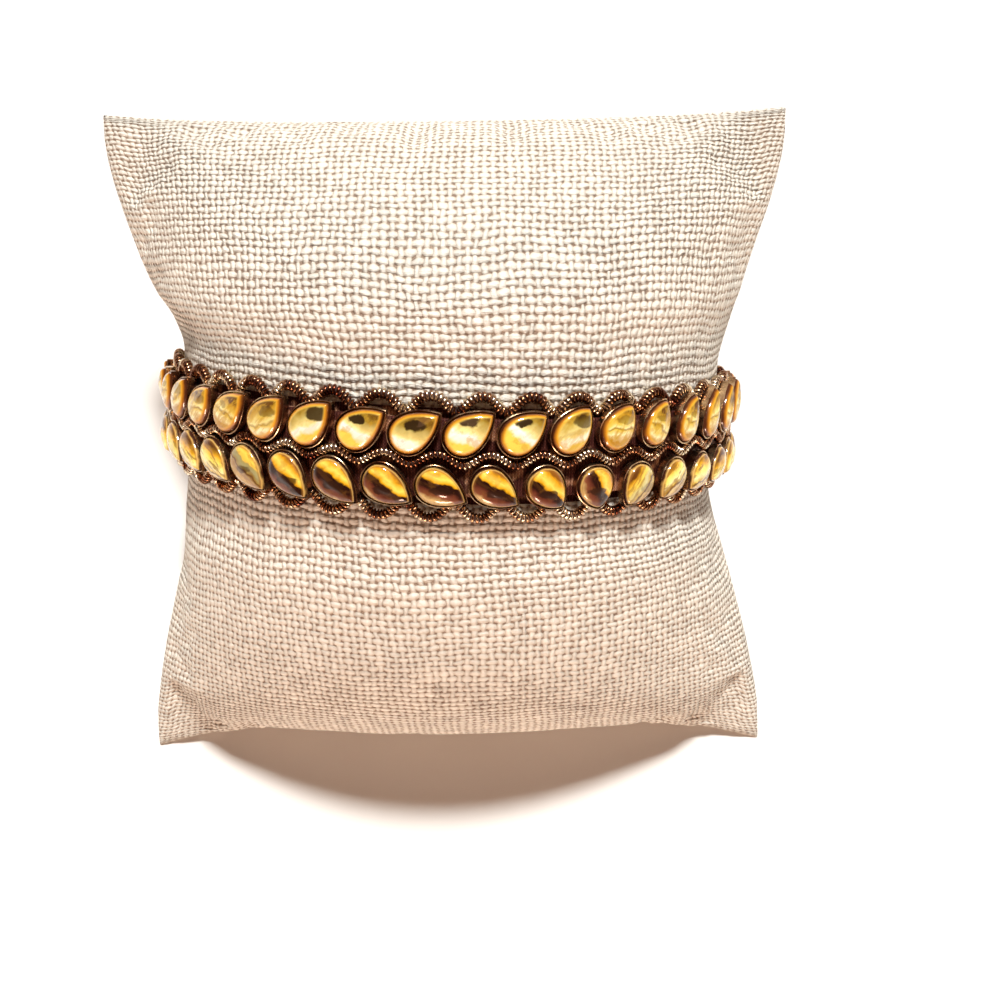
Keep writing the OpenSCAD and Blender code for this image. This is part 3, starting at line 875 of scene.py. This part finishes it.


# How the foil of each row looks: the bands are painted glow and painted reflections that run across a stone (a
# near-white painted glow towards the lower end of the upper stones, darker towards their top), the leaf bands
# take over where the stones are streaky, the spot is a painted dark reflection, and the rim is the colour round
# the edge, painted darker towards the girdle with a thin painted glint on the lower stones
upperLooks = {
    "across": "drop", "tilt": 0.60, "wobble": 0.75, "stray": 0.30, "rimStart": 0.48,
    "streaks": 0.50, "streak": (0.58, 0.34, 0.03),
    "spot": 0.98, "leafSpot": -0.55, "paintedReflectionColour": (0.030, 0.015, 0.005), "spotAside": 0.25, "spotStray": 0.9,
    "spotLength": 0.58, "spotDrop": -0.44, "spotHeight": 0.31,
    "paintedLightBands": [
        (0.06, (0.17, 0.080, 0.008)), (0.20, (0.38, 0.24, 0.030)), (0.36, (0.56, 0.44, 0.13)),
        (0.50, (0.77, 0.62, 0.20)), (0.60, (0.98, 0.85, 0.36)), (0.70, (1.0, 1.0, 0.90)),
        (0.84, (1.0, 0.98, 0.76)), (0.97, (1.0, 0.73, 0.11)),
    ],
    "rim": [
        (0.52, (0.91, 0.63, 0.12)), (0.72, (0.80, 0.40, 0.028)), (0.88, (0.44, 0.155, 0.012)),
        (0.98, (0.08, 0.022, 0.008)),
    ],
    "leafPaintedLightBands": [
        (0.06, (0.14, 0.055, 0.008)), (0.20, (0.56, 0.30, 0.022)), (0.34, (0.80, 0.57, 0.09)),
        (0.46, (0.96, 0.84, 0.34)), (0.55, (0.34, 0.19, 0.022)), (0.62, (0.82, 0.60, 0.10)),
        (0.78, (0.98, 0.90, 0.48)), (0.94, (0.52, 0.26, 0.018)),
    ],
}
lowerLooks = {
    "across": "beside", "tilt": 0.24, "wobble": 0.45, "stray": 0.30, "rimStart": 0.68,
    "streaks": 0.30, "streak": (0.24, 0.10, 0.02),
    "spot": 0.85, "leafSpot": -0.7, "paintedReflectionColour": (0.028, 0.010, 0.005), "spotAside": 0.3, "spotStray": 0.9,
    "spotLength": 0.60, "spotDrop": 0.10, "spotHeight": 0.24,
    "paintedLightBands": [
        (0.05, (0.28, 0.095, 0.010)), (0.13, (0.84, 0.38, 0.012)), (0.25, (1.0, 0.74, 0.12)),
        (0.36, (0.86, 0.40, 0.010)), (0.41, (0.020, 0.005, 0.003)), (0.57, (0.026, 0.007, 0.004)),
        (0.67, (0.13, 0.032, 0.016)), (0.80, (0.22, 0.066, 0.030)), (0.92, (0.70, 0.50, 0.19)),
    ],
    "rim": [
        (0.68, (0.62, 0.34, 0.05)), (0.82, (0.24, 0.08, 0.015)), (0.92, (0.72, 0.44, 0.12)),
        (0.99, (0.05, 0.015, 0.008)),
    ],
    "leafPaintedLightBands": [
        (0.06, (0.09, 0.030, 0.008)), (0.20, (0.80, 0.40, 0.02)), (0.34, (1.0, 0.80, 0.16)),
        (0.50, (1.0, 0.90, 0.42)), (0.60, (0.84, 0.58, 0.12)), (0.65, (0.08, 0.032, 0.008)),
        (0.71, (0.86, 0.66, 0.24)), (0.94, (0.44, 0.22, 0.04)),
    ],
}
# What both looks share. Crumple, streaks, ragged and relief are the scales of patterns, in cycles per metre.
# The relief's depth is in millimetres.
foil = {
    "crumple": 430, "streaks": 640, "ragged": 1500, "relief": 900, "reliefDepth": 0.12,
    "toneShuffle": 7.3, "streakEdge": (0.54, 0.64), "rimCrumple": 0.25, "rimBlend": 0.30,
    "veinsLengthwise": 0.55, "veinsSideways": 2.6, "veinsApart": 40.0, "veinScale": 1.5,
    "veinEdge": (0.50, 0.60), "plainVeins": 0.15, "leafVeins": 0.55,
    "spotRise": 0.30, "spotRagged": 1.7, "spotSize": 0.85, "leafSpotSize": -0.5, "spotGrowth": 1.1,
    "spotEdge": (0.55, 1.12),
    "finish": {
        "Metallic": 0.06, "Roughness": 0.32, "Specular IOR Level": 0.08,
        "Coat Weight": 1.0, "Coat Roughness": 0.02, "Coat IOR": 1.55,
    },
}


# Polished glass over crumpled gold foil: what the foil would throw back is painted into the colour, as bands of
# painted glow and painted reflection across each stone
def foiledMaterial(name, looks):
    material, tree, shader = startMaterial(name)
    place = objectPlace(tree)
    tone = attribute(tree, "tone")
    toneSwing = calc(tree, "SUBTRACT", tone, 0.5)
    # a second chance value of the stone's own, made from its tone
    other = calc(tree, "FRACT", calc(tree, "MULTIPLY", tone, foil["toneShuffle"]))
    edge = attribute(tree, "edge")
    crumple = calc(tree, "SUBTRACT", grain(tree, place, foil["crumple"], 3, 0.55), 0.5)
    # painted light: run is where across the stone the painted glow and reflection bands fall
    run = calc(tree, "MULTIPLY_ADD", attribute(tree, looks["across"]), 0.5, 0.5)
    tilt = calc(tree, "MULTIPLY", calc(tree, "SUBTRACT", other, 0.5), looks["tilt"])
    run = calc(tree, "ADD", run, calc(tree, "MULTIPLY", attribute(tree, "slide"), tilt))
    run = calc(tree, "MULTIPLY_ADD", crumple, looks["wobble"], run)
    run = calc(tree, "MULTIPLY_ADD", toneSwing, looks["stray"], run)
    leaf = attribute(tree, "leaf")
    colour = mixColour(tree, leaf, ramp(tree, run, looks["paintedLightBands"]), ramp(tree, run, looks["leafPaintedLightBands"]))
    lengthwise = calc(tree, "MULTIPLY", attribute(tree, "lengthwise"), foil["veinsLengthwise"])
    sideways = calc(tree, "MULTIPLY", attribute(tree, "sideways"), foil["veinsSideways"])
    veinPlace = joinXyz(tree, lengthwise, sideways, calc(tree, "MULTIPLY", tone, foil["veinsApart"]))
    veins = step(tree, grain(tree, veinPlace, foil["veinScale"], 3, 0.6), *foil["veinEdge"])
    veinStrength = calc(tree, "MULTIPLY_ADD", leaf, foil["leafVeins"], foil["plainVeins"])
    veins = calc(tree, "MULTIPLY", veins, veinStrength)
    streaks = step(tree, grain(tree, place, foil["streaks"], 4, 0.62), *foil["streakEdge"])
    streaks = calc(tree, "MAXIMUM", calc(tree, "MULTIPLY", streaks, looks["streaks"]), veins)
    colour = mixColour(tree, streaks, colour, (*looks["streak"], 1))
    # painted reflection: a dark patch with a ragged edge is painted where a dark reflection would show, near
    # the top of the upper stones
    spotStray = calc(tree, "MULTIPLY", other, looks["spotStray"])
    aside = calc(tree, "SUBTRACT", attribute(tree, "slide"), spotStray)
    aside = calc(tree, "DIVIDE", calc(tree, "ADD", aside, looks["spotAside"]), looks["spotLength"])
    down = calc(tree, "MULTIPLY_ADD", toneSwing, foil["spotRise"], attribute(tree, "drop"))
    down = calc(tree, "DIVIDE", calc(tree, "SUBTRACT", down, looks["spotDrop"]), looks["spotHeight"])
    reach = calc(tree, "ADD", calc(tree, "MULTIPLY", aside, aside), calc(tree, "MULTIPLY", down, down))
    ragged = calc(tree, "ADD", crumple, calc(tree, "SUBTRACT", grain(tree, place, foil["ragged"], 2), 0.5))
    reach = calc(tree, "MULTIPLY_ADD", ragged, foil["spotRagged"], reach)
    leastSize = calc(tree, "MULTIPLY_ADD", leaf, foil["leafSpotSize"], foil["spotSize"])
    size = calc(tree, "MULTIPLY_ADD", other, foil["spotGrowth"], leastSize)
    spot = calc(tree, "SUBTRACT", 1.0, step(tree, calc(tree, "DIVIDE", reach, size), *foil["spotEdge"]))
    spot = calc(tree, "MULTIPLY", spot, calc(tree, "MULTIPLY_ADD", leaf, looks["leafSpot"], looks["spot"]))
    colour = mixColour(tree, spot, colour, (*looks["paintedReflectionColour"], 1))
    # painted shade and painted reflection at the rim: the colour darkens towards the girdle, and on the lower
    # stones a thin bright line stands for a reflection inside the glass
    rim = ramp(tree, calc(tree, "MULTIPLY_ADD", crumple, foil["rimCrumple"], edge), looks["rim"])
    rimShare = step(tree, edge, looks["rimStart"], looks["rimStart"] + foil["rimBlend"])
    colour = mixColour(tree, rimShare, colour, rim)
    tree.links.new(colour, shader.inputs["Base Color"])
    relief = grain(tree, place, foil["relief"], 2, 0.5)
    tree.links.new(bump(tree, relief, foil["reliefDepth"] * metres, 0.7), shader.inputs["Normal"])
    setFinish(shader, foil["finish"])
    return material


# Gold finishes: tarnished colour, bright colour, roughness
golds = {
    "antiqueGold": ((0.20, 0.07, 0.03), (0.80, 0.58, 0.34), 0.26),
    "goldFoil": ((0.90, 0.48, 0.06), (1.0, 0.74, 0.26), 0.30),
    "satinGoldClasp": ((0.34, 0.19, 0.08), (0.72, 0.52, 0.28), 0.38),
}
# What they share: scales in cycles per metre, and the dents' depth in millimetres
goldWear = {
    "tarnish": 380, "tarnishEdge": (0.34, 0.62), "smears": 1300, "smearReach": 0.3,
    "dents": 1700, "dentDepth": 0.05,
}


def goldMaterial(name):
    dark, bright, roughness = golds[name]
    material, tree, shader = startMaterial(name)
    place = objectPlace(tree)
    tarnish = grain(tree, place, goldWear["tarnish"], 4, 0.6)
    colour = ramp(tree, tarnish, zip(goldWear["tarnishEdge"], (dark, bright)))
    tree.links.new(colour, shader.inputs["Base Color"])
    smears = grain(tree, place, goldWear["smears"], 3)
    smoothest = roughness - goldWear["smearReach"] / 2
    rough = calc(tree, "MULTIPLY_ADD", smears, goldWear["smearReach"], smoothest)
    tree.links.new(rough, shader.inputs["Roughness"])
    dents = bump(tree, grain(tree, place, goldWear["dents"], 3), goldWear["dentDepth"] * metres, 0.5)
    tree.links.new(dents, shader.inputs["Normal"])
    shader.inputs["Metallic"].default_value = 1.0
    return material


def buildStones(name, upper, material, node):
    bm = bmesh.new()
    # edge: 1 at the girdle, 0 on the table. drop and slide: down and along the band.
    # beside: across the stone and partly down. tone and leaf: the same all over a stone.
    # lengthwise and sideways: along and across the stone.
    markNames = ("edge", "drop", "slide", "beside", "tone", "leaf", "lengthwise", "sideways")
    edge, drop, slide, beside, tone, leaf, lengthwise, sideways = [
        bm.verts.layers.float.new(markName) for markName in markNames
    ]
    row = 0 if upper else 1
    dice = random.Random(stone["seeds"][row])
    rings = stoneRings()
    rimHeight = stone["thickness"] - stone["tableDome"] - stone["girdle"]
    besideShare, dropShare = stone["besideShares"]
    for place, across, direction, length, width, tip in stonePlaces(upper):
        verts = pearSkin(bm, stone["points"], (length, width, tip), rings)
        own = dice.random()
        awayFromMiddle = abs(place - stone["frontMiddle"]) - stone["leafStarts"][row]
        streaky = min(max(awayFromMiddle / stone["leafBlend"], 0), 1)
        upperSide = -1 if math.cos(direction) >= 0 else 1
        for vert in verts:
            x, y, height = vert.co
            vert[tone] = own
            vert[leaf] = streaky
            vert[lengthwise] = 2 * x / width
            vert[sideways] = 2 * y / width
            vert[drop] = -(x * math.sin(direction) + y * math.cos(direction)) / stone["patternReach"]
            vert[slide] = (x * math.cos(direction) - y * math.sin(direction)) / stone["patternReach"]
            vert[beside] = besideShare * y / (width / 2) * upperSide + dropShare * vert[drop]
            rise = (height - stone["girdle"]) / rimHeight
            vert[edge] = math.sqrt(max(1 - max(rise, 0) ** 2, 0)) if rise < 1 else 0
        turned = bandFrame(place, across, layers["stoneBase"]) @ Matrix.Rotation(direction, 4, "Z")
        bmesh.ops.transform(bm, matrix=turned, verts=verts)
    bmesh.ops.recalc_face_normals(bm, faces=bm.faces)
    addPiece(bm, name, [material], [node], math.radians(75))


def buildCups(name, upper, materials, node):
    bm = bmesh.new()
    dice = random.Random(cup["seeds"][0 if upper else 1])
    rings = cupRings()
    for place, across, direction, length, width, tip in stonePlaces(upper):
        known = len(bm.faces)
        verts = pearSkin(bm, cup["points"], (length, width, tip), rings)
        wave = dice.uniform(0, 2 * math.pi)
        for vert in verts:
            if vert.co.z > layers["cupBase"] + cup["rimHeight"]:
                around = math.atan2(vert.co.y, vert.co.x)
                vert.co.z -= cup["rimWave"] * (1 + math.sin(cup["rimWaves"] * around + wave)) / 2
        bm.faces.ensure_lookup_table()
        for face in bm.faces[known:]:
            middle = face.calc_center_median().z
            isLow = max(vert.co.z for vert in face.verts) < layers["cupBase"] + cup["linedTo"]
            if isLow and middle > layers["cupBase"] + cup["linedFrom"]:
                face.material_index = 1  # the floor is lined with foil
        turned = bandFrame(place, across, 0) @ Matrix.Rotation(direction, 4, "Z")
        bmesh.ops.transform(bm, matrix=turned, verts=verts)
    bmesh.ops.recalc_face_normals(bm, faces=bm.faces)
    addPiece(bm, name, materials, [node], math.radians(35))


# Box clasp: a block with a raised lid that has a sunk panel. The clearance keeps it off the pillow.
clasp = {
    "clearance": 0.08, "edgeRound": 0.3, "edgeSegments": 4,
    "lidRound": 0.18, "lidSegments": 3, "lidSink": 0.2,
    "panelInset": 1.4, "panelSlope": 0.15, "panelDepth": 0.18,
}


def buildClasp():
    bm = bmesh.new()
    length = claspSize["length"]
    width = claspSize["width"]
    lidBase = layers["top"] - claspSize["lid"]
    height = lidBase - clasp["clearance"]
    addBlock(bm, (length, width, height), (0, 0, clasp["clearance"] + height / 2))
    edges = [edge for edge in bm.edges
             if edge.calc_length() < lidBase or min(vert.co.z for vert in edge.verts) > lidBase / 2]
    roundEdges(bm, edges, clasp["edgeRound"], clasp["edgeSegments"])
    known = set(bm.verts)
    inset = claspSize["step"]
    lidHeight = claspSize["lid"] + clasp["lidSink"]
    lidMiddle = lidBase + (claspSize["lid"] - clasp["lidSink"]) / 2
    addBlock(bm, (length - 2 * inset, width - 2 * inset, lidHeight), (0, 0, lidMiddle))
    ownEdges = [edge for edge in bm.edges if edge.verts[0] not in known]
    lidEdges = [edge for edge in ownEdges if min(vert.co.z for vert in edge.verts) > layers["top"] - 0.01]
    lidEdges += [edge for edge in ownEdges if edge.calc_length() < 2 * lidHeight]
    roundEdges(bm, lidEdges, clasp["lidRound"], clasp["lidSegments"])
    lidTop = max((face for face in bm.faces if face.verts[0] not in known and face.normal.z > 0.9),
                 key=lambda face: face.calc_area())
    bmesh.ops.inset_region(bm, faces=[lidTop], thickness=clasp["panelInset"], depth=0)
    bmesh.ops.inset_region(bm, faces=[lidTop], thickness=clasp["panelSlope"], depth=-clasp["panelDepth"])
    bmesh.ops.transform(bm, matrix=bandFrame(claspPlace, 0, 0), verts=bm.verts)
    bmesh.ops.recalc_face_normals(bm, faces=bm.faces)
    addPiece(bm, "boxClasp", [goldMaterial("satinGoldClasp")], ["clasp"], math.radians(30))


# Floor, light and camera
studio = {
    "floorSize": 3.0, "floorFinish": {"Base Color": (0.79, 0.775, 0.745, 1), "Roughness": 0.95},
    "window": {
        "direction": (0.09, 0.46, 0.88), "spread": 0.15, "strength": 4.8, "colour": (1.0, 1.0, 0.985),
    },
    "fills": [  # name, direction, width, power, colour
        ("overheadFill", (-0.06, -0.10, 1.0), 0.24, 0.16, (1.0, 0.50, 0.30)),
        ("lowFill", (-0.10, -0.98, 0.17), 0.17, 2.1, (1.0, 0.68, 0.52)),
    ],
    "fillDistance": 0.6, "worldStrength": 1.0,
    "worldBands": [  # height of the direction from 0 straight down to 1 straight up, and the colour there
        (0.50, (0.84, 0.78, 0.71)), (0.57, (0.62, 0.48, 0.39)), (0.66, (0.20, 0.09, 0.06)),
        (0.80, (0.09, 0.035, 0.022)), (0.92, (0.012, 0.005, 0.003)),
    ],
    "lens": 40.64, "sensor": 36, "nearest": 0.01, "farthest": 10,
    "place": (6.13, -6.98, 146.0), "tilt": math.radians(13.66), "roll": math.radians(0.71),
}


def buildFloor():
    bm = bmesh.new()
    bmesh.ops.create_grid(bm, x_segments=1, y_segments=1, size=studio["floorSize"] / 2)
    mesh = bpy.data.meshes.new("studioFloor")
    bm.to_mesh(mesh)
    bm.free()
    material, _, shader = startMaterial("paleFloor")
    setFinish(shader, studio["floorFinish"])
    mesh.materials.append(material)
    floor = bpy.data.objects.new("studioFloor", mesh)
    bpy.context.scene.collection.objects.link(floor)


def addLight(name, kind, direction, energy, colour):
    light = bpy.data.lights.new(name, kind)
    light.energy = energy
    light.color = colour
    lamp = bpy.data.objects.new(name, light)
    bpy.context.scene.collection.objects.link(lamp)
    direction = Vector(direction).normalized()
    lamp.location = direction * studio["fillDistance"]
    lamp.rotation_euler = direction.to_track_quat("Z", "Y").to_euler()
    return light


def lightScene():
    window = studio["window"]
    light = addLight("softWindow", "SUN", window["direction"], window["strength"], window["colour"])
    light.angle = window["spread"]
    for name, direction, width, power, colour in studio["fills"]:
        light = addLight(name, "AREA", direction, power, colour)
        light.shape = "DISK"
        light.size = width
    world = bpy.data.worlds.new("warmRoom")
    bpy.context.scene.world = world
    world.use_nodes = True
    tree = world.node_tree
    backdrop = tree.nodes["Background"]
    parts = tree.nodes.new("ShaderNodeSeparateXYZ")
    tree.links.new(tree.nodes.new("ShaderNodeTexCoord").outputs["Generated"], parts.inputs[0])
    height = calc(tree, "MULTIPLY_ADD", parts.outputs[2], 0.5, 0.5)
    tree.links.new(ramp(tree, height, studio["worldBands"]), backdrop.inputs["Color"])
    backdrop.inputs["Strength"].default_value = studio["worldStrength"]
    bpy.context.scene.view_settings.view_transform = "Standard"


def addCamera():
    tilt = studio["tilt"]
    right = Vector((1, 0, 0))
    up = Vector((0, math.cos(tilt), -math.sin(tilt)))
    back = Vector((0, math.sin(tilt), math.cos(tilt)))
    x, y, distance = studio["place"]
    eye = pillowToRow @ (right * x + up * y + back * distance)
    turned = Matrix.Rotation(lean, 3, "X")
    rolledRight = right * math.cos(studio["roll"]) - up * math.sin(studio["roll"])
    rolledUp = right * math.sin(studio["roll"]) + up * math.cos(studio["roll"])
    data = bpy.data.cameras.new("photoCamera")
    data.lens = studio["lens"]
    data.sensor_width = studio["sensor"]
    data.clip_start = studio["nearest"]
    data.clip_end = studio["farthest"]
    camera = bpy.data.objects.new("photoCamera", data)
    bpy.context.scene.collection.objects.link(camera)
    axes = Matrix((turned @ rolledRight, turned @ rolledUp, turned @ back)).transposed()
    camera.matrix_world = Matrix.Translation(eye) @ axes.to_4x4()
    bpy.context.scene.camera = camera


buildPillow()
buildRibbon()
bronze = [bronzeMaterial(), coreMaterial()]
buildGimp("upperGimpCord", waves["upper"], "upper_trim", bronze)
buildGimp("middleGimpCord", waves["middle"], "middle_cord", bronze)
buildGimp("lowerGimpCord", waves["lower"], "lower_trim", bronze)
cupGolds = [goldMaterial("antiqueGold"), goldMaterial("goldFoil")]
buildCups("upperCups", True, cupGolds, "upper_settings")
buildCups("lowerCups", False, cupGolds, "lower_settings")
buildStones("upperStones", True, foiledMaterial("palerFoiledGlass", upperLooks), "upper_stones")
buildStones("lowerStones", False, foiledMaterial("deeperFoiledGlass", lowerLooks), "lower_stones")
buildClasp()
buildFloor()
lightScene()
addCamera()
print("floor, light and camera are in place")
